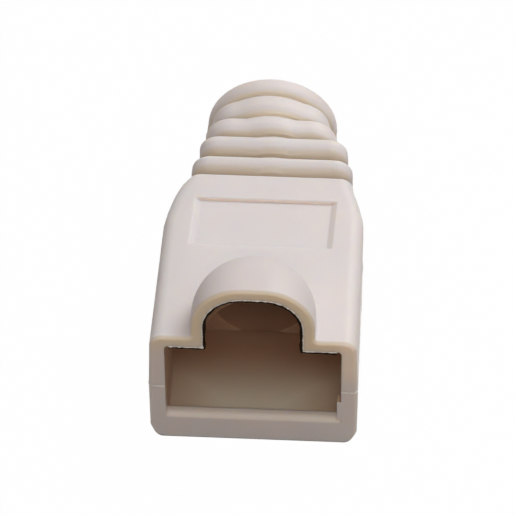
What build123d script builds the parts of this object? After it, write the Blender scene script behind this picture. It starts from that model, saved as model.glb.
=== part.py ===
"""Slip-on strain relief boot for an 8-position modular plug, moulded in one piece of soft PVC.

The plug goes in at the mouth, on the -Y side, and its latch lies under the hood. The cable leaves
through the ribbed tail, on the +Y side. The boot stands on its flat underside.
All sizes are in millimetres and degrees. Features are built with the mouth at Y = 0, and the
finished boot is then centred on the origin.
"""
from build123d import *
from math import atan2, cos, degrees, radians, sin
import os

# Housing: drafted both ways from the mould's parting line, with shoulders that draw in to the tail
BODY_WIDTH = 13.9
BODY_HEIGHT = 9.2
BODY_LENGTH = 15.86
SHOULDER_START = 11.9
SHOULDER_WIDTH = 13.74
SHOULDER_DRAW_IN = 1.095
PARTING_HEIGHT = 4.6
DRAFT_ABOVE = 1.7
DRAFT_BELOW = 0.4
SHOULDER_RADIUS = 5.0
LONG_EDGE_RADIUS = 0.9
MOUTH_EDGE_BEVEL = 0.2

# Plug socket
SOCKET_WIDTH = 11.7
SOCKET_DEPTH = 8.6
FLOOR_THICKNESS = 1.5
ROOF_THICKNESS = 0.82
SOCKET_CORNER_RADIUS = 0.3

# Retaining sill across the mouth, with the short upstand at its right-hand end
SILL_HEIGHT = 0.5
SILL_DEPTH = 0.75
SILL_NOSE_RADIUS = 0.45
UPSTAND_WIDTH = 0.27
UPSTAND_HEIGHT = 1.65

# Latch hood
HOOD_WIDTH = 8.2
HOOD_RISE = 4.45
HOOD_WALL = 0.78
HOOD_SHOULDER_RADIUS = 3.4
HOOD_STRAIGHT = 1.3
HOOD_ROOT_RADIUS = 0.25

# Label recess in the top
RECESS_WIDTH = 9.7
RECESS_LENGTH = 4.6
RECESS_DEPTH = 0.26
RECESS_END_SLOPE = 0.4
RECESS_TO_TAIL = 2.3

# Ribs: flat-sided at the housing, round at the cable end, with grooves that get shallower on the way.
# There is one groove in front of each rib. It slopes down from the crest before it and rises in a
# quarter round of its own depth. On the round core, which shows as a hump on the flats, it is shallower.
FIRST_CREST_END = 1.98
RIB_PITCH = 2.13
END_RIB_REACH = 1.98
GROOVE_DEPTHS = (0.75, 0.72, 0.6, 0.46, 0.34)
GROOVE_BACK_SHARE = 0.9
CORE_GROOVE_SHARE = 0.7
RIB_FRONT_FLATS = 3
FLAT_RIB_WIDTHS = (11.1, 10.3, 9.2, 8.3)
FLAT_RIB_HEIGHTS = (8.95, 8.83, 8.4, 7.9)
FLAT_RIB_CORNERS = (1.3, 1.4, 2.0, 2.4)
CORE_DIAMETER = 9.0
END_RIB_DIAMETER = 9.15
TAIL_END_BEVEL = 0.3

# Cable way
CABLE_BORE = 6.0
LEAD_IN_BORE = 6.7
LEAD_IN_LENGTH = 1.6

# Worked out from the sizes above
AXIS_HEIGHT = BODY_HEIGHT / 2
SOCKET_HEIGHT = BODY_HEIGHT - FLOOR_THICKNESS - ROOF_THICKNESS
ROOF_HEIGHT = BODY_HEIGHT - ROOF_THICKNESS
HOOD_TOP = BODY_HEIGHT + HOOD_RISE
END_RIB = len(FLAT_RIB_WIDTHS)
LENGTH = BODY_LENGTH + FIRST_CREST_END + (END_RIB - 1) * RIB_PITCH + END_RIB_REACH
OVERCUT = 1.0
NEAR = 1e-4


def across(y, z=0.0):
    """Plane across the boot at distance y behind the mouth, seen from the mouth, with Z up."""
    return Plane(origin=(0, y, z), x_dir=(1, 0, 0), z_dir=(0, -1, 0))


def along(x, z=0.0):
    """Plane along the boot at x, with its first axis towards the tail and its second up."""
    return Plane(origin=(x, 0, z), x_dir=(0, 1, 0), z_dir=(1, 0, 0))


def lying_at(edges, y=None, z=None):
    """Edges that lie wholly at one distance behind the mouth, or at one height."""
    found = []
    for edge in edges:
        ends = [edge @ 0, edge @ 0.5, edge @ 1]
        if y is not None and any(abs(p.Y - y) > NEAR for p in ends):
            continue
        if z is not None and any(abs(p.Z - z) > NEAR for p in ends):
            continue
        found.append(edge)
    return found


def housing():
    """Box in plan with shoulders, drawn up and down from the parting line and cut flat at its ends."""
    narrowing = (BODY_WIDTH - SHOULDER_WIDTH) / 2 / SHOULDER_START
    draw_in = SHOULDER_DRAW_IN / (BODY_LENGTH - SHOULDER_START)
    right = [
        (BODY_WIDTH / 2 + narrowing * OVERCUT, -OVERCUT),
        (SHOULDER_WIDTH / 2, SHOULDER_START),
        (SHOULDER_WIDTH / 2 - SHOULDER_DRAW_IN - draw_in * OVERCUT, BODY_LENGTH + OVERCUT),
    ]
    left = [(-x, y) for x, y in reversed(right)]
    plan = make_face(Polyline(*right, *left, close=True))
    shoulders = [v for v in plan.vertices() if abs(v.Y - SHOULDER_START) < NEAR]
    level = Plane.XY.offset(PARTING_HEIGHT) * fillet(shoulders, SHOULDER_RADIUS)
    upper = extrude(level, amount=BODY_HEIGHT - PARTING_HEIGHT, taper=DRAFT_ABOVE)
    lower = extrude(level, amount=PARTING_HEIGHT, dir=(0, 0, -1), taper=DRAFT_BELOW)
    keep = Box(2 * BODY_WIDTH, BODY_LENGTH, BODY_HEIGHT, align=(Align.CENTER, Align.MIN, Align.MIN))
    box = (upper + lower) & keep
    long_edges = []
    for height in (0, BODY_HEIGHT):
        level_edges = lying_at(box.edges(), z=height)
        long_edges += [e for e in level_edges if abs((e @ 0).Y - (e @ 1).Y) > NEAR]
    return fillet(long_edges, LONG_EDGE_RADIUS)


def hood_shape(half_width, top, shoulder_radius):
    """Round-shouldered arch, swept straight back from the mouth and closed by half a turn of itself."""
    rise = top - ROOF_HEIGHT
    arch = Rectangle(2 * half_width, rise, align=(Align.CENTER, Align.MIN))
    arch = fillet(arch.vertices().sort_by(Axis.Y)[-2:], shoulder_radius)
    tunnel = extrude(across(0, ROOF_HEIGHT) * arch, amount=-HOOD_STRAIGHT)
    half = arch & Rectangle(half_width, rise, align=(Align.MIN, Align.MIN))
    turn_axis = Axis((0, HOOD_STRAIGHT, 0), (0, 0, 1))
    end = revolve(across(HOOD_STRAIGHT, ROOF_HEIGHT) * half, turn_axis, 180)
    return tunnel + end


def hood():
    return hood_shape(HOOD_WIDTH / 2, HOOD_TOP, HOOD_SHOULDER_RADIUS)


def latch_space():
    return hood_shape(HOOD_WIDTH / 2 - HOOD_WALL, HOOD_TOP - HOOD_WALL, HOOD_SHOULDER_RADIUS - HOOD_WALL)


def sill():
    """Round-nosed bar across the mouth, and the upstand where it meets the right-hand wall."""
    profile = Rectangle(SILL_DEPTH, SILL_HEIGHT, align=(Align.MIN, Align.MIN))
    nose = profile.vertices().group_by(Axis.Y)[-1].sort_by(Axis.X)[0]
    bar = extrude(along(-BODY_WIDTH / 2, FLOOR_THICKNESS) * fillet(nose, SILL_NOSE_RADIUS), amount=BODY_WIDTH)
    upstand = Box(UPSTAND_WIDTH, SILL_DEPTH, UPSTAND_HEIGHT, align=(Align.MAX, Align.MIN, Align.MIN))
    return bar + Pos(SOCKET_WIDTH / 2, 0, FLOOR_THICKNESS + SILL_HEIGHT) * upstand


def plug_socket():
    """Pocket for the plug, less the sill, which is left standing at the mouth."""
    opening = RectangleRounded(SOCKET_WIDTH, SOCKET_HEIGHT, SOCKET_CORNER_RADIUS)
    pocket = extrude(across(0, FLOOR_THICKNESS + SOCKET_HEIGHT / 2) * opening, amount=-SOCKET_DEPTH)
    return pocket - sill()


def label_recess():
    """Shallow tray for a label, with sloped ends and square long sides."""
    half_top = RECESS_WIDTH / 2
    half_floor = half_top - RECESS_END_SLOPE
    floor = BODY_HEIGHT - RECESS_DEPTH
    outline = Polyline(
        (-half_top, BODY_HEIGHT),
        (-half_floor, floor),
        (half_floor, floor),
        (half_top, BODY_HEIGHT),
        close=True,
    )
    near_side = BODY_LENGTH - RECESS_TO_TAIL - RECESS_LENGTH
    return extrude(across(near_side) * make_face(outline), amount=-RECESS_LENGTH)


def crest_end(number):
    """Distance from the mouth to the rear edge of a rib's crest, counting the housing as rib -1."""
    if number < 0:
        return BODY_LENGTH
    return BODY_LENGTH + FIRST_CREST_END + number * RIB_PITCH


def rib_foot(number):
    """Distance from the mouth to the bottom of the groove in front of a rib."""
    return crest_end(number - 1) + GROOVE_BACK_SHARE * GROOVE_DEPTHS[number]


def rib_front(number, reach, depth_share):
    """Points of a rib's front, cut along the boot, from the cable's axis up to the start of its crest.

    The quarter round is drawn as a few flats to keep the facets few.
    """
    run = GROOVE_DEPTHS[number]
    depth = run * depth_share
    foot = rib_foot(number)
    if number:
        points = [(foot, 0)]
    else:
        points = [(BODY_LENGTH, 0), (BODY_LENGTH, reach - depth)]
    for flat in range(RIB_FRONT_FLATS + 1):
        turn = radians(90 * flat / RIB_FRONT_FLATS)
        points.append((foot + run * (1 - cos(turn)), reach - depth * (1 - sin(turn))))
    return points


def rib_outline(number, reach, depth_share=1):
    """A rib cut along the boot: rounded in front, sloping down to the next groove at the back."""
    end = rib_foot(number + 1)
    next_depth = GROOVE_DEPTHS[number + 1] * depth_share
    back = [(crest_end(number), reach), (end, reach - next_depth), (end, 0)]
    return make_face(Polyline(*rib_front(number, reach, depth_share), *back, close=True))


def flat_sided_rib(number):
    """One rib, counted from 0: straight bars with a quarter turn in each corner, mirrored both ways."""
    half_width = FLAT_RIB_WIDTHS[number] / 2
    half_height = FLAT_RIB_HEIGHTS[number] / 2
    corner = FLAT_RIB_CORNERS[number]
    x = half_width - corner
    z = half_height - corner
    lying = Plane(origin=(0, 0, AXIS_HEIGHT), x_dir=(0, 1, 0), z_dir=(0, 0, -1))
    top = extrude(along(0, AXIS_HEIGHT) * rib_outline(number, half_height), amount=x)
    side = extrude(lying * rib_outline(number, half_width), amount=-z)
    turn_axis = Axis((x, 0, AXIS_HEIGHT + z), (0, 1, 0))
    turn = revolve(along(x, AXIS_HEIGHT + z) * rib_outline(number, corner), turn_axis, 90)
    quarter = top + side + turn
    half = quarter + mirror(quarter, Plane.YZ)
    return half + mirror(half, Plane.XY.offset(AXIS_HEIGHT))


def turned(outline):
    """An outline drawn along the boot, turned about the cable's axis."""
    return revolve(along(0, AXIS_HEIGHT) * outline, Axis((0, 0, AXIS_HEIGHT), (0, 1, 0)), 360)


def round_rib(number):
    """Round core of a flat-sided rib, which shows as a hump on it."""
    return turned(rib_outline(number, CORE_DIAMETER / 2, CORE_GROOVE_SHARE))


def end_rib():
    """Last, round rib, with a bevelled end."""
    reach = END_RIB_DIAMETER / 2
    end = [(LENGTH - TAIL_END_BEVEL, reach), (LENGTH, reach - TAIL_END_BEVEL), (LENGTH, 0)]
    return turned(make_face(Polyline(*rib_front(END_RIB, reach, 1), *end, close=True)))


def cable_way():
    """Round way from the back of the socket to the end of the tail, with a tapered lead-in."""
    start = across(SOCKET_DEPTH, AXIS_HEIGHT)
    bore = extrude(start * Circle(CABLE_BORE / 2), amount=-(LENGTH - SOCKET_DEPTH + OVERCUT))
    slope = degrees(atan2((LEAD_IN_BORE - CABLE_BORE) / 2, LEAD_IN_LENGTH))
    lead_in = extrude(start * Circle(LEAD_IN_BORE / 2), amount=LEAD_IN_LENGTH, dir=(0, 1, 0), taper=slope)
    return bore + lead_in


def hood_root(shell):
    """Edges where the hood stands on the roof of the housing, behind the mouth."""
    return [e for e in lying_at(shell.edges(), z=BODY_HEIGHT) if abs((e @ 0.5).X) < HOOD_WIDTH / 2 + NEAR
            and NEAR < (e @ 0.5).Y < HOOD_STRAIGHT + HOOD_WIDTH / 2 + NEAR]


def boot():
    shell = housing() + hood()
    shell = fillet(hood_root(shell), HOOD_ROOT_RADIUS)
    shell = chamfer(lying_at(shell.edges(), y=0), MOUTH_EDGE_BEVEL)
    for number in range(END_RIB):
        shell = shell + flat_sided_rib(number) + round_rib(number)
    shell = shell + end_rib()
    return shell - plug_socket() - latch_space() - label_recess() - cable_way()


def main():
    os.makedirs("parts", exist_ok=True)
    part = Pos(0, -LENGTH / 2, 0) * boot()
    export_step(part, "parts/boot.step")
    box = part.bounding_box()
    print("boot", len(part.solids()), "solid", round(part.volume, 1), "mm3", box.min, box.max)


main()
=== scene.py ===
"""Slip-on strain relief boot in moulded cream PVC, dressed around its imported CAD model.

The boot lies on its underside with the mouth towards the viewer. Lengths in the values below are in
millimetres, unless they say otherwise, and places along the boot are counted from the mouth. Width
counts to the right from the middle, and height from the underside. Everything made is in metres.
"""
import math

import bmesh
import bpy
from mathutils import Matrix, Vector
from mathutils.bvhtree import BVHTree

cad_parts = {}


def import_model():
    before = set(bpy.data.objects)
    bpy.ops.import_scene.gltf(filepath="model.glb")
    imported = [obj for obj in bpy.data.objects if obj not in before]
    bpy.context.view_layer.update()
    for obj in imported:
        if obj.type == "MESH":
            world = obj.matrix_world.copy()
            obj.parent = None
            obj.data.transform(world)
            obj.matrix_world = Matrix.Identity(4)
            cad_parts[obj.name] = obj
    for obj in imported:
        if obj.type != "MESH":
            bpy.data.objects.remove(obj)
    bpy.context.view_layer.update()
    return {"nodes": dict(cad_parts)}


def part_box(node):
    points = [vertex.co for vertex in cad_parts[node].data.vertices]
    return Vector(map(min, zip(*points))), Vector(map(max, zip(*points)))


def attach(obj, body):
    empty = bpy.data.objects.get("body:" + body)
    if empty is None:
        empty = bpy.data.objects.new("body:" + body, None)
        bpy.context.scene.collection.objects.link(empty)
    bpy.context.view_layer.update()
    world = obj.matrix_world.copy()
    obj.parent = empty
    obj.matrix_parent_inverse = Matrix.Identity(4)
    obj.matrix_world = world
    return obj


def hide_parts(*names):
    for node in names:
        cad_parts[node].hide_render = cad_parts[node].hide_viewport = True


MM = 0.001

# The boot's own sizes, as in its CAD source
LENGTH = 26.21
HOUSING_LENGTH = 15.86
SHOULDER_START = 11.9
HALF_WIDTH = 6.95
PARTING_HEIGHT = 4.6
AXIS_HEIGHT = 4.6
MOUTH_EDGE = 0.2
SOCKET_HALF_WIDTH = 5.85
SOCKET_CORNER = 0.3
SOCKET_DEPTH = 8.6
ROOF_UNDERSIDE = 8.38
LATCH_HALF_WIDTH = 3.32
LATCH_TOP = 12.87
LATCH_SHOULDER = 2.62
HOOD_STRAIGHT = 1.3
HOOD_CORE = 0.7
HOOD_SHOULDER_HEIGHT = 10.25
RECESS_END = 13.56
FIRST_CREST_END = 1.98
RIB_PITCH = 2.13
GROOVE_DEPTHS = (0.75, 0.72, 0.6, 0.46, 0.34)
GROOVE_BACK_SHARE = 0.9

# The lip under the mouth: top of the corners that stretch with it, and how far it stands forward
CORNER_TOP = 1.2
LOWER_LIP = 0.17

# Slight sideways set of the soft tail: distance from the mouth, shift to the right
TAIL_SET = (
    (9.8, 0.0), (13.4, 0.30), (15.9, 0.30), (19.4, 0.36),
    (21.7, 0.04), (23.8, -0.11), (26.3, -0.09),
)
ROOF_FOLLOWS = 0.5

# The upper part of the shoulders is fuller than a straight line, more so on the left
SHOULDER_CUTS = (13.8, 14.5, 15.2)
FILL_LEFT = 0.19
FILL_RIGHT = 0.08
FILL_RISE = 2.4
FILL_INNER = 5.0
FILL_FADE = 0.7

# The lower part of the right wall is drawn in where its shoulder starts
TUCK_RIGHT = 0.17
TUCK_INNER = 5.0
TUCK_START = 9.0
TUCK_FULL = 11.2
TUCK_END = 15.2
TUCK_FADE = 2.7
TUCK_TOP = 5.4
TUCK_TOP_FADE = 2.6

# Joining and shading of the shell
WELD = 1e-7
AT_MOUTH = 0.01
SHARP_ANGLE = 32

# Colours of the plastic and of the painted light and shade on it, as linear colours
CREAM = (0.735, 0.655, 0.618)
CREAM_COOL = (0.700, 0.640, 0.618)
CREAM_WARM = (0.740, 0.640, 0.577)
# Painted shade on the left side of the housing and on the hood
CREAM_LEFT_SHADE = (0.665, 0.605, 0.580)
CREAM_HOOD_SHADE = (0.670, 0.592, 0.560)
# Painted shade down in the grooves, tan, and paler over the round core
GROOVE_SHADE_TAN = (0.585, 0.480, 0.362)
GROOVE_SHADE_PALE = (0.790, 0.680, 0.540)
# Painted light: a glow on the rim of the mouth, light on the sill and on the far wall of the recess
RIM_LIGHT_TAN = (0.800, 0.655, 0.485)
RIM_LIGHT_PALE = (0.885, 0.740, 0.615)
SILL_LIGHT_PALE = (0.820, 0.715, 0.625)
RECESS_LIGHT_PALE = (0.900, 0.785, 0.735)
# Painted shade inside the socket: olive near the mouth, brown deeper in, dark over the latch
SOCKET_SHADE_OLIVE = (0.78, 0.70, 0.545)
SOCKET_SHADE_BROWN = (0.49, 0.295, 0.185)
SOCKET_SHADE_DARK = (0.24, 0.15, 0.10)
FLASH = (0.90, 0.86, 0.80)
# Painted shadow: a dark line just inside the opening's upper edge
SHADOW_LINE_DARK = (0.030, 0.019, 0.012)

# Where each painted shade or painted light on the outside starts and where it is full
LEFT_WIDTH = (-3.2, -6.2)
LEFT_BEHIND_MOUTH = (0.1, 0.5)
LEFT_BEFORE_TAIL = (15.9, 15.0)
HOOD_HEIGHT = (9.3, 10.3)
RIM_DEPTH = (0.26, 0.0)
RIM_HEIGHT = (6.0, 9.0)
RIM_LOWER_TO_RIGHT = 0.12
RIGHT_RIM_WIDTH = (5.2, 6.2)
RIGHT_RIM_HEIGHT = (4.8, 7.0)
FAR_WALL_DEPTHS = (RECESS_END - 0.03, RECESS_END + 0.03)
FAR_WALL_HEIGHTS = (8.9, 9.19)
FAR_WALL_HALF_WIDTH = 5.2

# Painted shade: the grooves are tan, and paler over the round core and all round the last one
GROOVE_SHADE_SHARE = 0.92
GROOVE_LEVEL = 0.2
RIB_ROUNDING = 0.5
CORE_DEPTH = (19.5, 23.5)
CORE_HALF_WIDTH = (3.4, 0.6)
LAST_GROOVE_DEPTH = (23.8, 24.3)

# Reach of the painted shade and light inside, which go a little into the walls
BEHIND_MOUTH = 0.02
INSIDE_HALF_WIDTH = 6.3
INSIDE_HEIGHTS = (0.8, 8.62)
INSIDE_DEPTH = SOCKET_DEPTH + 0.3
LATCH_REACH = 3.0
LATCH_FOOT = 8.3
BORE_REACH = 3.7
BORE_START = SOCKET_DEPTH - 0.1
BORE_FADE = (22.0, 13.0)
# The sill gets painted light
SILL_HALF_WIDTH = 6.0
SILL_DEPTHS = (BEHIND_MOUTH, 1.0)
SILL_HEIGHTS = (1.2, 2.6)

# Where the painted brown shade of the inside starts and where it is full
BROWN_DEPTH = (1.2, 7.0)
BROWN_LATCH_DEPTH = (0.0, 0.8)
BROWN_HALF_WIDTH = (1.5, 5.5)
BROWN_AT_SIDES = 0.55
BROWN_WALL = 5.7
BROWN_ON_WALLS = 0.8
# Painted shade over the latch
DARK_HEIGHT = 8.45
DARK_SHARE = 0.55
# A painted shadow line under the roof's edge, broken by the grain
SHADOW_LINE_DEPTH = (0.2, 0.1)
SHADOW_LINE_HEIGHT = 7.4
SHADOW_LINE_GRAIN = (0.25, 0.4)

# Noises by their scale in waves to the metre, detail and roughness, and what is made of them
FLOW_NOISE = (130.0, 3.0, 0.5)
MOTTLE_NOISE = (620.0, 3.0, 0.55)
GRAIN_NOISE = (5200.0, 2.0, 0.6)
TRIM_NOISE = (1800.0, 3.0, 0.6)
FLOW_MARKS = (0.38, 0.64)
MOTTLING = (0.42, 0.72)
MOTTLING_SHARE = 0.35
TRIM_MOTTLING = (0.35, 0.7)
TRIM_DULLER = 0.8
GLOSS_FROM_GRAIN = 0.25
GLOSS_MARKS = (0.45, 0.8)
GLOSS_CHANGE = 0.06

# How dull each finish is, and how strongly the plastic bends light
PVC_ROUGHNESS = 0.5
FLASH_ROUGHNESS = 0.35
SHADOW_LINE_ROUGHNESS = 0.9
PVC_IOR = 1.5

# Height and depth of the grain, rounding of edges and of rib fronts, and light scattered inside
HEIGHT_FROM_MOTTLE = 0.7
HEIGHT_FROM_GRAIN = 0.3
GRAIN_DEPTH = 0.022
EDGE_ROUNDING = 0.17
FRONT_ROUNDING = 0.24
LIGHT_INSIDE = 0.6
LIGHT_REACH = (1.0, 0.7, 0.4)

# Beads along the edges, by the inputs of their shape tree
FLASH_BEAD = {
    "Bead Radius": 0.034 * MM, "Unevenness": 1.2, "Unevenness Scale": 4200.0,
    "Point Spacing": 0.04 * MM, "Speck Size": 0.045 * MM, "Speck Share": 0.12, "Seed": 5,
}
BURR_BEAD = {
    "Bead Radius": 0.06 * MM, "Unevenness": 1.0, "Unevenness Scale": 5000.0,
    "Point Spacing": 0.03 * MM, "Speck Size": 0.06 * MM, "Speck Share": 0.3, "Seed": 2,
}
# The dark bead is a painted shadow line inside the edge of the opening
SHADOW_LINE_BEAD = {
    "Bead Radius": 0.10 * MM, "Unevenness": 0.5, "Unevenness Scale": 2200.0,
    "Point Spacing": 0.05 * MM, "Speck Size": 0.05 * MM, "Speck Share": 0.12, "Seed": 3,
}
SEAM_BEAD = {
    "Bead Radius": 0.035 * MM, "Unevenness": 0.35, "Unevenness Scale": 900.0,
    "Point Spacing": 0.12 * MM, "Speck Size": 0.03 * MM, "Speck Share": 0.0, "Seed": 9,
}
BEAD_SIDES = 8
BEAD_LEAST_RADIUS = 0.006
WAVE_STRETCH = 4.0
SEED_STEP = 3.7
SPECK_LEAST = (0.4, 0.4, 0.5)
SPECK_MOST = (1.0, 1.0, 1.7)
FULL_TURN = (6.28, 6.28, 6.28)

# Places of the beads. The burr is at the hood's left foot: width and height of its points.
FLASH_FORWARD = 0.02
# The painted shadow line sits behind the mouth and in from the opening's edge
SHADOW_LINE_BACK = 0.07
SHADOW_LINE_INSET = 0.125
BURR = ((-3.44, 8.42), (-3.36, 8.38), (-3.30, 8.33), (-3.27, 8.45))
ARC_STEPS = 12
SEAM_POINTS = 260
SEAM_RAY_START = 20

# Photographer's camera: degrees, pixels of the photograph and millimetres
ELEVATION = 44.0
YAW = 3.57
ROLL = -0.44
FOCAL_PIXELS = 4000.0
FRAME_PIXELS = 515.0
SENSOR = 36.0
DISTANCE = 272.7
AIM_FROM_MOUTH = 10.0
AIM_HEIGHT = 4.45
AIM_PIXELS_RIGHT = 4.0
AIM_PIXELS_DOWN = 28.3

# Studio. Each softbox: name, place and side in metres, watts, colour. All face the origin.
SKY_COLOUR = (1.0, 0.985, 0.995)
SKY_AT_HORIZON = 0.15
SKY_AT_ZENITH = 0.61
SKY_TO_RIGHT = 0.04
SOFTBOXES = (
    ("overhead softbox", (0.22, 0.19, 0.40), 0.26, 1.42, (0.90, 0.965, 1.02)),
    ("front softbox", (0.03, -0.31, 0.34), 0.20, 0.31, (1.0, 0.965, 0.92)),
)
FLOOR_REACH = 1.5
PAPER = (0.35, 0.285, 0.225)
PAPER_SHOWN_WHITE = 0.99
WHITE = (1.0, 1.0, 1.0)


class Term:
    """A socket that takes part in Python sums. Each sum adds one Math node."""

    def __init__(self, sheet, socket):
        self.sheet = sheet
        self.socket = socket

    def sum(self, operation, first, second):
        return self.sheet.add("ShaderNodeMath", {"operation": operation}, {0: first, 1: second})

    def __add__(self, other):
        return self.sum("ADD", self, other)

    def __radd__(self, other):
        return self.sum("ADD", other, self)

    def __sub__(self, other):
        return self.sum("SUBTRACT", self, other)

    def __rsub__(self, other):
        return self.sum("SUBTRACT", other, self)

    def __mul__(self, other):
        return self.sum("MULTIPLY", self, other)

    def __rmul__(self, other):
        return self.sum("MULTIPLY", other, self)

    def most(self, other):
        return self.sum("MAXIMUM", self, other)

    def size(self):
        return self.sum("ABSOLUTE", self, 0.0)

    def below(self, limit):
        return self.sum("LESS_THAN", self, limit)

    def above(self, limit):
        return self.sum("GREATER_THAN", self, limit)

    def within(self, low, high):
        return self.above(low) * self.below(high)

    def away(self, other):
        """Distance from nought, this far one way and the other term's length across it."""
        return self.sum("SQRT", self * self + other * other, 0.0)


class Sheet:
    """A node tree, for a finish or for a shape, with one method that adds any node to it."""

    def __init__(self, tree):
        self.tree = tree

    def add(self, kind, settings=None, inputs=None, output=0):
        """Adds a node: its settings first, then the values or links of its sockets."""
        node = self.tree.nodes.new(kind)
        for name, value in (settings or {}).items():
            setattr(node, name, value)
        for name, value in (inputs or {}).items():
            if isinstance(value, Term):
                self.tree.links.new(value.socket, node.inputs[name])
            else:
                node.inputs[name].default_value = value
        return Term(self, node.outputs[output]) if node.outputs else node

    def split(self, place):
        """The three parts of a place or a direction."""
        parts = self.add("ShaderNodeSeparateXYZ", None, {"Vector": place}).socket.node.outputs
        return [Term(self, part) for part in parts]

    def noise(self, place, scale, detail, roughness):
        return self.add("ShaderNodeTexNoise", None, {
            "Vector": place, "Scale": scale, "Detail": detail, "Roughness": roughness,
        })

    def between(self, value, low, high, out_low=0.0, out_high=1.0):
        """Rises smoothly from one result to the other, as the value goes from low to high."""
        return self.add("ShaderNodeMapRange", {"interpolation_type": "SMOOTHSTEP"}, {
            "Value": value, "From Min": low, "From Max": high,
            "To Min": out_low, "To Max": out_high,
        })

    def blend(self, share, first, second):
        """Colours mixed by share. The Mix node's sockets 6 and 7 and its output 2 are colours."""
        return self.add("ShaderNodeMix", {"data_type": "RGBA"}, {0: share, 6: first, 7: second}, 2)

    def paint(self, share, tone, colour):
        return self.blend(share, tone, opaque(colour))

    def seen_by(self, *rays):
        """1 for rays of these kinds, 0 for others."""
        outputs = self.tree.nodes.new("ShaderNodeLightPath").outputs
        share = Term(self, outputs[rays[0]])
        for ray in rays[1:]:
            share = share.most(Term(self, outputs[ray]))
        return share


def opaque(colour):
    return (*colour, 1.0)


def blank_material(name):
    material = bpy.data.materials.new(name)
    material.use_nodes = True
    material.node_tree.nodes.clear()
    return material, Sheet(material.node_tree)


def places(sheet):
    """The point being shaded, and its width, distance from the mouth and height in millimetres."""
    place = sheet.add("ShaderNodeTexCoord", output="Object")
    x, y, z = (part * (1 / MM) for part in sheet.split(place))
    return place, x, y + LENGTH / 2, z


def grooves(sheet, depth):
    """Two masks along the boot: the bottoms of the grooves, where their shade is painted, and the
    fronts of the ribs.
    """
    bottoms, fronts = 0.0, 0.0
    start = HOUSING_LENGTH
    for number, groove in enumerate(GROOVE_DEPTHS):
        bottom = start + GROOVE_BACK_SHARE * groove
        front = bottom + groove
        rise = sheet.between(depth, start, bottom)
        bottoms = bottoms + rise * sheet.between(depth, front, bottom + GROOVE_LEVEL * groove)
        fronts = fronts + rise * sheet.between(depth, front + RIB_ROUNDING, front - RIB_ROUNDING)
        start = HOUSING_LENGTH + FIRST_CREST_END + number * RIB_PITCH
    return bottoms, fronts


def round_core(sheet, x, depth):
    """1 where the grooves cross the round core of the tail, and all round the last one."""
    last = sheet.between(depth, *LAST_GROOVE_DEPTH)
    over = sheet.between(x.size(), *CORE_HALF_WIDTH).most(last)
    return sheet.between(depth, *CORE_DEPTH) * over


def outer_tone(sheet, x, depth, z, tone, bottoms, core):
    """Painted shade and light over the plain cream: shade on the left side, in the grooves and on
    the hood, light on the far wall of the recess and on the rim.
    """
    # Painted shade: the left side of the housing is darker, from behind the mouth to the tail
    left = sheet.between(x, *LEFT_WIDTH) * sheet.between(depth, *LEFT_BEFORE_TAIL)
    tone = sheet.paint(left * sheet.between(depth, *LEFT_BEHIND_MOUTH), tone, CREAM_LEFT_SHADE)
    # Painted shade down in the grooves, paler over the round core and all round the last one
    groove_shade_tone = sheet.paint(core, opaque(GROOVE_SHADE_TAN), GROOVE_SHADE_PALE)
    tone = sheet.blend(bottoms * GROOVE_SHADE_SHARE, tone, groove_shade_tone)
    # Painted shade over the hood
    tone = sheet.paint(sheet.between(z, *HOOD_HEIGHT), tone, CREAM_HOOD_SHADE)
    # Painted light on the far wall of the recess, which is paler
    far_wall = depth.within(*FAR_WALL_DEPTHS) * z.within(*FAR_WALL_HEIGHTS)
    tone = sheet.paint(far_wall * x.size().below(FAR_WALL_HALF_WIDTH), tone, RECESS_LIGHT_PALE)
    # Painted light: a yellow glow across the top of the mouth's face, paler on its right side
    front = sheet.between(depth, *RIM_DEPTH)
    rim = sheet.between(z + RIM_LOWER_TO_RIGHT * x, *RIM_HEIGHT)
    tone = sheet.paint(front * rim, tone, RIM_LIGHT_TAN)
    right = sheet.between(x, *RIGHT_RIM_WIDTH) * sheet.between(z, *RIGHT_RIM_HEIGHT)
    return sheet.paint(front * right, tone, RIM_LIGHT_PALE)


def inside_share(sheet, x, depth, z):
    """Where the painted shade of the inside goes: 1 on the walls of the socket, the latch space and
    the start of the cable way, 0 outside.
    """
    socket = x.size().below(INSIDE_HALF_WIDTH) * z.within(*INSIDE_HEIGHTS)
    socket = socket * depth.below(INSIDE_DEPTH)
    plan = x.size().away((depth - HOOD_STRAIGHT).most(0.0))
    dome = (plan - HOOD_CORE).most(0.0).away((z - HOOD_SHOULDER_HEIGHT).most(0.0))
    latch = dome.below(LATCH_REACH) * z.above(LATCH_FOOT)
    bore = x.away(z - AXIS_HEIGHT).below(BORE_REACH) * depth.above(BORE_START)
    bore = bore * sheet.between(depth, *BORE_FADE)
    return socket.most(latch).most(bore) * depth.above(BEHIND_MOUTH)


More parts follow.
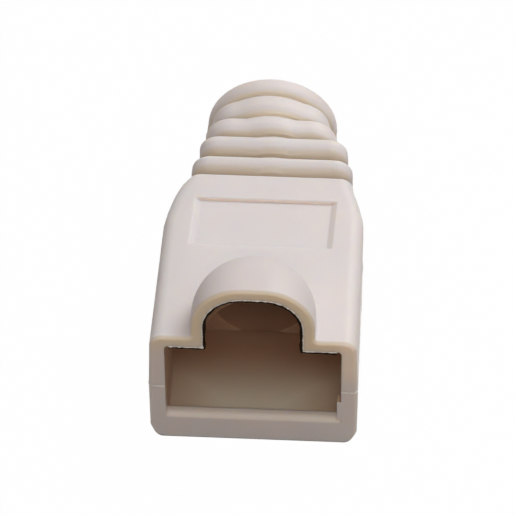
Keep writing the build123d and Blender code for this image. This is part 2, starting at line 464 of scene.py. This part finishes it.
def inside_shade_tone(sheet, x, depth, z, grain):
    """Painted shade inside: olive near the mouth, brown deeper in and at the sides, dark over the
    latch, a shadow line under the roof's edge; painted light on the sill.
    """
    # Painted shade: brown deeper in and towards the sides
    deep = sheet.between(depth, *BROWN_DEPTH)
    deep = deep.most(z.above(LATCH_FOOT) * sheet.between(depth, *BROWN_LATCH_DEPTH))
    deep = deep.most(sheet.between(x.size(), *BROWN_HALF_WIDTH, 0.0, BROWN_AT_SIDES))
    deep = deep.most(x.size().above(BROWN_WALL) * BROWN_ON_WALLS)
    tone = sheet.paint(deep, opaque(SOCKET_SHADE_OLIVE), SOCKET_SHADE_BROWN)
    # Painted shade over the latch
    tone = sheet.paint(z.above(DARK_HEIGHT) * DARK_SHARE, tone, SOCKET_SHADE_DARK)
    # Painted shadow line just behind the roof's edge
    shadow_line = sheet.between(depth, *SHADOW_LINE_DEPTH) * z.above(SHADOW_LINE_HEIGHT)
    tone = sheet.paint(shadow_line * sheet.between(grain, *SHADOW_LINE_GRAIN), tone, SHADOW_LINE_DARK)
    # Painted light on the sill
    sill = depth.within(*SILL_DEPTHS) * z.within(*SILL_HEIGHTS) * x.size().below(SILL_HALF_WIDTH)
    return sheet.paint(sill, tone, SILL_LIGHT_PALE)


def moulded_normal(sheet, fronts, flat_fronts, grain_height):
    """Normals with rounded edges and a fine moulded grain.

    The rib fronts are a few flats in the mesh. One bump over each front makes it look round, and
    the flat ribs keep the mesh's plain normal under it. Sockets 4 and 5 and output 1 of the Mix
    node are vectors.
    """
    rounded = sheet.add("ShaderNodeBevel", {"samples": 8}, {"Radius": EDGE_ROUNDING * MM})
    plain = sheet.add("ShaderNodeNewGeometry", output="Normal")
    rounded = sheet.add("ShaderNodeMix", {"data_type": "VECTOR"}, {
        0: flat_fronts, 4: rounded, 5: plain,
    }, 1)
    rounded = sheet.add("ShaderNodeBump", {"invert": True}, {
        "Strength": 1.0, "Distance": FRONT_ROUNDING * MM, "Height": fronts, "Normal": rounded,
    })
    return sheet.add("ShaderNodeBump", None, {
        "Strength": 1.0, "Distance": GRAIN_DEPTH * MM, "Height": grain_height, "Normal": rounded,
    })


def moulded_pvc(name):
    """Soft satin PVC: flow marks and mottling in its colour, a fine moulded grain, rounded edges.

    It looks more yellow around the mouth and down in the grooves through painted light and shade in
    its colour: a glow on the mouth's rim, tan shade in the grooves, darker shade on the left side
    and the hood, and brown shade inside.
    """
    material, sheet = blank_material(name)
    place, x, depth, z = places(sheet)
    flow = sheet.noise(place, *FLOW_NOISE)
    mottle = sheet.noise(place, *MOTTLE_NOISE)
    grain = sheet.noise(place, *GRAIN_NOISE)
    bottoms, fronts = grooves(sheet, depth)
    core = round_core(sheet, x, depth)
    tone = sheet.paint(sheet.between(flow, *FLOW_MARKS), opaque(CREAM_COOL), CREAM)
    tone = sheet.paint(sheet.between(mottle, *MOTTLING) * MOTTLING_SHARE, tone, CREAM_WARM)
    # Painted shade and light on the outside
    tone = outer_tone(sheet, x, depth, z, tone, bottoms, core)
    # Painted shade inside the socket, the latch space and the cable way
    within = inside_shade_tone(sheet, x, depth, z, grain)
    tone = sheet.blend(inside_share(sheet, x, depth, z), tone, within)
    gloss_marks = mottle + GLOSS_FROM_GRAIN * grain
    gloss = sheet.between(gloss_marks, *GLOSS_MARKS, -GLOSS_CHANGE, GLOSS_CHANGE)
    grain_height = mottle * HEIGHT_FROM_MOTTLE + grain * HEIGHT_FROM_GRAIN
    normal = moulded_normal(sheet, fronts, fronts * (1.0 - core), grain_height)
    surface = sheet.add("ShaderNodeBsdfPrincipled", None, {
        "Base Color": tone, "Roughness": PVC_ROUGHNESS + gloss, "IOR": PVC_IOR, "Normal": normal,
        "Subsurface Weight": LIGHT_INSIDE, "Subsurface Radius": LIGHT_REACH,
        "Subsurface Scale": 1.0 * MM,
    })
    sheet.add("ShaderNodeOutputMaterial", None, {"Surface": surface})
    return material


def trim_finish(name, colour, roughness, shine=0.5):
    """Thin trim of the same plastic, or the painted shadow line that sits beside it, in one mottled
    colour.
    """
    material, sheet = blank_material(name)
    place = sheet.add("ShaderNodeTexCoord", output="Object")
    mottle = sheet.between(sheet.noise(place, *TRIM_NOISE), *TRIM_MOTTLING)
    duller = tuple(TRIM_DULLER * c for c in colour)
    surface = sheet.add("ShaderNodeBsdfPrincipled", None, {
        "Base Color": sheet.paint(mottle, opaque(colour), duller), "Roughness": roughness,
        "Specular IOR Level": shine,
    })
    sheet.add("ShaderNodeOutputMaterial", None, {"Surface": surface})
    return material


def paper(name, colour, shown):
    """Stage paper. The camera, gloss and clear parts see it as white, with a little shadow."""
    material, sheet = blank_material(name)
    seen = sheet.seen_by("Is Camera Ray", "Is Glossy Ray", "Is Transmission Ray")
    matt = sheet.add("ShaderNodeBsdfDiffuse", None, {"Color": opaque(colour)})
    white = sheet.add("ShaderNodeEmission", None, {"Color": opaque(WHITE), "Strength": 1.0})
    mixed = sheet.add("ShaderNodeMixShader", None, {0: seen * shown, 1: matt, 2: white})
    sheet.add("ShaderNodeOutputMaterial", None, {"Surface": mixed})
    return material


def surrounding_light():
    """World that lights softly, more from above and the right, and shows as white."""
    world = bpy.data.worlds.new("studio")
    bpy.context.scene.world = world
    world.use_nodes = True
    world.node_tree.nodes.clear()
    sheet = Sheet(world.node_tree)
    right, _, up = sheet.split(sheet.add("ShaderNodeTexCoord", output="Generated"))
    strength = SKY_AT_HORIZON + (SKY_AT_ZENITH - SKY_AT_HORIZON) * up.most(0.0)
    lit = sheet.add("ShaderNodeBackground", None, {
        "Color": opaque(SKY_COLOUR), "Strength": strength + SKY_TO_RIGHT * right,
    })
    white = sheet.add("ShaderNodeBackground", None, {"Color": opaque(WHITE), "Strength": 1.0})
    seen = sheet.seen_by("Is Camera Ray", "Is Glossy Ray")
    mixed = sheet.add("ShaderNodeMixShader", None, {0: seen, 1: lit, 2: white})
    sheet.add("ShaderNodeOutputWorld", None, {"Surface": mixed})


def new_piece(name, data):
    piece = bpy.data.objects.new(name, data)
    bpy.context.scene.collection.objects.link(piece)
    return piece


def softbox(name, place, side, power, colour):
    lamp = bpy.data.lights.new(name, "AREA")
    lamp.shape = "SQUARE"
    lamp.size = side
    lamp.energy = power
    lamp.color = colour
    fixture = new_piece(name, lamp)
    fixture.location = place
    fixture.rotation_euler = (-Vector(place)).to_track_quat("-Z", "Y").to_euler()


def clamp(share):
    return min(max(share, 0.0), 1.0)


def tail_shift(from_mouth):
    """How far the soft tail leans to the right at this distance from the mouth."""
    if from_mouth <= TAIL_SET[0][0]:
        return 0.0
    for (start, low), (end, high) in zip(TAIL_SET, TAIL_SET[1:]):
        if from_mouth <= end:
            share = (from_mouth - start) / (end - start)
            return low + (high - low) * share * share * (3 - 2 * share)
    return TAIL_SET[-1][1]


def shoulder_fill(x, from_mouth, height):
    """How far the upper part of a shoulder stands out past the CAD shape, towards its own side."""
    along = (from_mouth - SHOULDER_START) / (HOUSING_LENGTH - SHOULDER_START)
    if not 0.0 < along < 1.0:
        return 0.0
    up = clamp((height - PARTING_HEIGHT) / FILL_RISE)
    outer = clamp((abs(x) - FILL_INNER) / FILL_FADE)
    most = FILL_LEFT if x < 0 else FILL_RIGHT
    return math.copysign(most * up * outer * math.sin(math.pi * along), x)


def wall_tuck(x, from_mouth, height):
    """How far the lower part of the right wall is drawn in where its shoulder starts."""
    if x < TUCK_INNER:
        return 0.0
    deepens = clamp((from_mouth - TUCK_START) / (TUCK_FULL - TUCK_START))
    along = min(deepens, clamp((TUCK_END - from_mouth) / TUCK_FADE))
    low = 1.0 - clamp((height - TUCK_TOP) / TUCK_TOP_FADE)
    return TUCK_RIGHT * along * low


def soften(vertex, mouth):
    """Moves one point of the shell from its CAD place to where the soft boot has it.

    The shoulders and the right wall change a little, the bevel under the mouth is filled out to a
    sharp edge that stands forward, and the tail leans. The roof follows the lean by a part.
    """
    from_mouth = (vertex.co.y - mouth) / MM
    at = (vertex.co.x / MM, from_mouth, vertex.co.z / MM)
    vertex.co.x += (shoulder_fill(*at) - wall_tuck(*at)) * MM
    if from_mouth < AT_MOUTH:
        low = clamp((CORNER_TOP - vertex.co.z / MM) / (CORNER_TOP - MOUTH_EDGE))
        vertex.co.z -= low * MOUTH_EDGE * MM
        vertex.co.y -= low * LOWER_LIP * MM
    above = clamp((vertex.co.z / MM - PARTING_HEIGHT) / PARTING_HEIGHT)
    follow = 1.0 - (1.0 - ROOF_FOLLOWS) * above if from_mouth <= HOUSING_LENGTH else 1.0
    vertex.co.x += tail_shift(from_mouth) * follow * MM


def smooth_shell(node, name, finish, mouth):
    """The boot's moulded wall: the CAD node's own faces joined up, softened and shaded smoothly."""
    mesh = node.data.copy()
    mesh.name = name
    joined = bmesh.new()
    joined.from_mesh(mesh)
    bmesh.ops.remove_doubles(joined, verts=joined.verts, dist=WELD)
    for cut in SHOULDER_CUTS:
        everything = joined.verts[:] + joined.edges[:] + joined.faces[:]
        place = (0, mouth + cut * MM, 0)
        bmesh.ops.bisect_plane(joined, geom=everything, plane_co=place, plane_no=(0, 1, 0))
    for vertex in joined.verts:
        soften(vertex, mouth)
    joined.to_mesh(mesh)
    joined.free()
    for left_over in ("custom_normal", "sharp_face", "sharp_edge"):
        if left_over in mesh.attributes:
            mesh.attributes.remove(mesh.attributes[left_over])
    mesh.shade_smooth()
    mesh.set_sharp_from_angle(angle=math.radians(SHARP_ANGLE))
    mesh.materials.clear()
    mesh.materials.append(finish)
    return new_piece(name, mesh)


def bead_tree():
    """Shape tree: a round, uneven bead along a path, with specks of loose flash on it."""
    tree = bpy.data.node_groups.new("bead along a path", "GeometryNodeTree")
    tree.is_modifier = True
    face = tree.interface
    face.new_socket("Geometry", in_out="INPUT", socket_type="NodeSocketGeometry")
    for name in FLASH_BEAD:
        kind = "NodeSocketInt" if name == "Seed" else "NodeSocketFloat"
        face.new_socket(name, in_out="INPUT", socket_type=kind)
    face.new_socket("Finish", in_out="INPUT", socket_type="NodeSocketMaterial")
    face.new_socket("Geometry", in_out="OUTPUT", socket_type="NodeSocketGeometry")
    sheet = Sheet(tree)
    given = tree.nodes.new("NodeGroupInput")

    def want(name):
        return Term(sheet, given.outputs[name])

    path = sheet.add("GeometryNodeMeshToCurve", None, {"Mesh": want("Geometry")})
    path = sheet.add("GeometryNodeResampleCurve", {"mode": "LENGTH"}, {
        "Curve": path, "Length": want("Point Spacing"),
    })
    place = sheet.add("GeometryNodeInputPosition")
    wave = sheet.add("ShaderNodeTexNoise", {"noise_dimensions": "4D"}, {
        "Vector": place, "W": want("Seed") * SEED_STEP, "Scale": want("Unevenness Scale"),
        "Detail": 3.0,
    })
    uneven = 1.0 + want("Unevenness") * (wave - 0.5) * WAVE_STRETCH
    thickness = (want("Bead Radius") * uneven).most(BEAD_LEAST_RADIUS * MM)
    ring = sheet.add("GeometryNodeCurvePrimitiveCircle", None, {
        "Resolution": BEAD_SIDES, "Radius": 1.0,
    })
    body = sheet.add("GeometryNodeCurveToMesh", None, {
        "Curve": path, "Profile Curve": ring, "Fill Caps": True, "Scale": thickness,
    })
    # Output 3 is this node's true or false. Inputs 0 and 1 of the next two are least and most.
    chosen = sheet.add("FunctionNodeRandomValue", {"data_type": "BOOLEAN"}, {
        "Probability": want("Speck Share"), "Seed": want("Seed"),
    }, 3)
    turned = sheet.add("FunctionNodeRandomValue", {"data_type": "FLOAT_VECTOR"}, {
        1: FULL_TURN, "Seed": want("Seed") + 1.0,
    })
    stretched = sheet.add("FunctionNodeRandomValue", {"data_type": "FLOAT_VECTOR"}, {
        0: SPECK_LEAST, 1: SPECK_MOST, "Seed": want("Seed") + 2.0,
    })
    speck = sheet.add("GeometryNodeMeshIcoSphere", None, {
        "Radius": want("Speck Size"), "Subdivisions": 2,
    })
    specks = sheet.add("GeometryNodeInstanceOnPoints", None, {
        "Points": sheet.add("GeometryNodeCurveToPoints", {"mode": "EVALUATED"}, {"Curve": path}),
        "Selection": chosen, "Instance": speck, "Rotation": turned, "Scale": stretched,
    })
    both = tree.nodes.new("GeometryNodeJoinGeometry")
    tree.links.new(body.socket, both.inputs[0])
    tree.links.new(specks.socket, both.inputs[0])
    whole = Term(sheet, both.outputs[0])
    whole = sheet.add("GeometryNodeRealizeInstances", None, {"Geometry": whole})
    whole = sheet.add("GeometryNodeSetShadeSmooth", None, {"Geometry": whole})
    whole = sheet.add("GeometryNodeSetMaterial", None, {
        "Geometry": whole, "Material": want("Finish"),
    })
    out = tree.nodes.new("NodeGroupOutput")
    tree.links.new(whole.socket, out.inputs[0])
    return tree


def bead(name, tree, paths, values, finish):
    """Runs the bead's shape tree along the paths and keeps the result as a plain mesh."""
    line = bpy.data.meshes.new(name + " path")
    points = [p for path in paths for p in path]
    edges = []
    start = 0
    for path in paths:
        edges += [(start + i, start + i + 1) for i in range(len(path) - 1)]
        start += len(path)
    line.from_pydata(points, edges, [])
    carrier = new_piece(name + " path", line)
    modifier = carrier.modifiers.new("bead", "NODES")
    modifier.node_group = tree
    given = {**values, "Finish": finish}
    for item in tree.interface.items_tree:
        if item.in_out == "INPUT" and item.name in given:
            modifier[item.identifier] = given[item.name]
    ready = carrier.evaluated_get(bpy.context.evaluated_depsgraph_get())
    mesh = bpy.data.meshes.new_from_object(ready)
    mesh.name = name
    bpy.data.objects.remove(carrier)
    return new_piece(name, mesh)


def opening_edge(y, inset):
    """Upper edge of the opening: under the roof, over the latch and under the roof again."""
    roof = (ROOF_UNDERSIDE - inset) * MM
    half = (LATCH_HALF_WIDTH - inset) * MM
    radius = (LATCH_SHOULDER - inset) * MM
    end = (SOCKET_HALF_WIDTH - SOCKET_CORNER) * MM
    centre_x = radius - half
    centre_z = (LATCH_TOP - LATCH_SHOULDER) * MM
    points = [Vector((-end, y, roof)), Vector((-half, y, roof))]
    for step in range(ARC_STEPS + 1):
        angle = math.pi - step * math.pi / (2 * ARC_STEPS)
        x = centre_x + radius * math.cos(angle)
        points.append(Vector((x, y, centre_z + radius * math.sin(angle))))
    return points + [Vector((-p.x, p.y, p.z)) for p in reversed(points)]


def parting_line(side, mouth, surface):
    """Where the two halves of the mould met: across one wall of the mouth, then along that side."""
    height = PARTING_HEIGHT * MM
    points = [
        Vector((side * SOCKET_HALF_WIDTH * MM, mouth, height)),
        Vector((side * (HALF_WIDTH - MOUTH_EDGE) * MM, mouth, height)),
    ]
    for step in range(SEAM_POINTS):
        y = mouth + (MOUTH_EDGE + (LENGTH - 2 * MOUTH_EDGE) * step / (SEAM_POINTS - 1)) * MM
        start = Vector((side * SEAM_RAY_START * MM, y, height))
        hit = surface.ray_cast(start, Vector((-side, 0, 0)))[0]
        if hit:
            points.append(hit)
    return points


def photographers_camera(mouth):
    """Camera at the photograph's place, turn and framing."""
    elevation, yaw, roll = (math.radians(a) for a in (ELEVATION, YAW, ROLL))
    flat = math.cos(elevation)
    back = Vector((math.sin(yaw) * flat, -math.cos(yaw) * flat, math.sin(elevation)))
    level = Vector((math.cos(yaw), math.sin(yaw), 0))
    upright = back.cross(level)
    right = math.cos(roll) * level + math.sin(roll) * upright
    up = -math.sin(roll) * level + math.cos(roll) * upright
    aim = Vector((0, mouth + AIM_FROM_MOUTH * MM, AIM_HEIGHT * MM))
    per_pixel = DISTANCE * MM / FOCAL_PIXELS
    framing = up * AIM_PIXELS_DOWN * per_pixel - right * AIM_PIXELS_RIGHT * per_pixel
    place = aim + back * DISTANCE * MM + framing
    lens = bpy.data.cameras.new("camera")
    lens.sensor_width = SENSOR
    lens.lens = FOCAL_PIXELS * SENSOR / FRAME_PIXELS
    lens.clip_start = 0.01
    lens.clip_end = 10.0
    camera = new_piece("camera", lens)
    turn = Matrix((right, up, back)).transposed()
    camera.matrix_world = Matrix.Translation(place) @ turn.to_4x4()
    bpy.context.scene.camera = camera


def stage_floor():
    floor = bpy.data.meshes.new("floor")
    signs = [(-1, -1), (1, -1), (1, 1), (-1, 1)]
    corners = [(x * FLOOR_REACH, y * FLOOR_REACH, 0) for x, y in signs]
    floor.from_pydata(corners, [], [(0, 1, 2, 3)])
    floor.materials.append(paper("stage paper", PAPER, PAPER_SHOWN_WHITE))
    new_piece("floor", floor)


def trims(shell, mouth):
    """Flash and a painted shadow line on the edge of the opening, the burr beside it and the
    mould's seam.
    """
    corners = [v.co for v in shell.data.vertices]
    surface = BVHTree.FromPolygons(corners, [p.vertices for p in shell.data.polygons])
    seams = [parting_line(side, mouth, surface) for side in (-1, 1)]
    tree = bead_tree()
    pale = trim_finish("pale flash", FLASH, FLASH_ROUGHNESS)
    # A dark bead as a painted shadow line along the opening's inner edge
    dark = trim_finish("painted shadow line", SHADOW_LINE_DARK, SHADOW_LINE_ROUGHNESS, shine=0.0)
    forward = mouth - FLASH_FORWARD * MM
    edge = opening_edge(forward, 0.0)
    shaded_edge = opening_edge(mouth + SHADOW_LINE_BACK * MM, SHADOW_LINE_INSET)
    foot = [Vector((x * MM, forward, z * MM)) for x, z in BURR]
    return [
        bead("opening_flash", tree, [edge], FLASH_BEAD, pale),
        bead("hood_foot_burr", tree, [foot], BURR_BEAD, pale),
        bead("opening_shadow_line", tree, [shaded_edge], SHADOW_LINE_BEAD, dark),
        bead("parting_seam", tree, seams, SEAM_BEAD, pale),
    ]


def main():
    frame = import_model()
    low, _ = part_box("boot")
    mouth = low.y

    photographers_camera(mouth)
    surrounding_light()
    for values in SOFTBOXES:
        softbox(*values)
    stage_floor()

    shell = smooth_shell(frame["nodes"]["boot"], "moulded_boot", moulded_pvc("cream pvc"), mouth)
    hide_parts("boot")
    for piece in (shell, *trims(shell, mouth)):
        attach(piece, "root")

    bpy.context.scene.view_settings.view_transform = "Standard"


main()
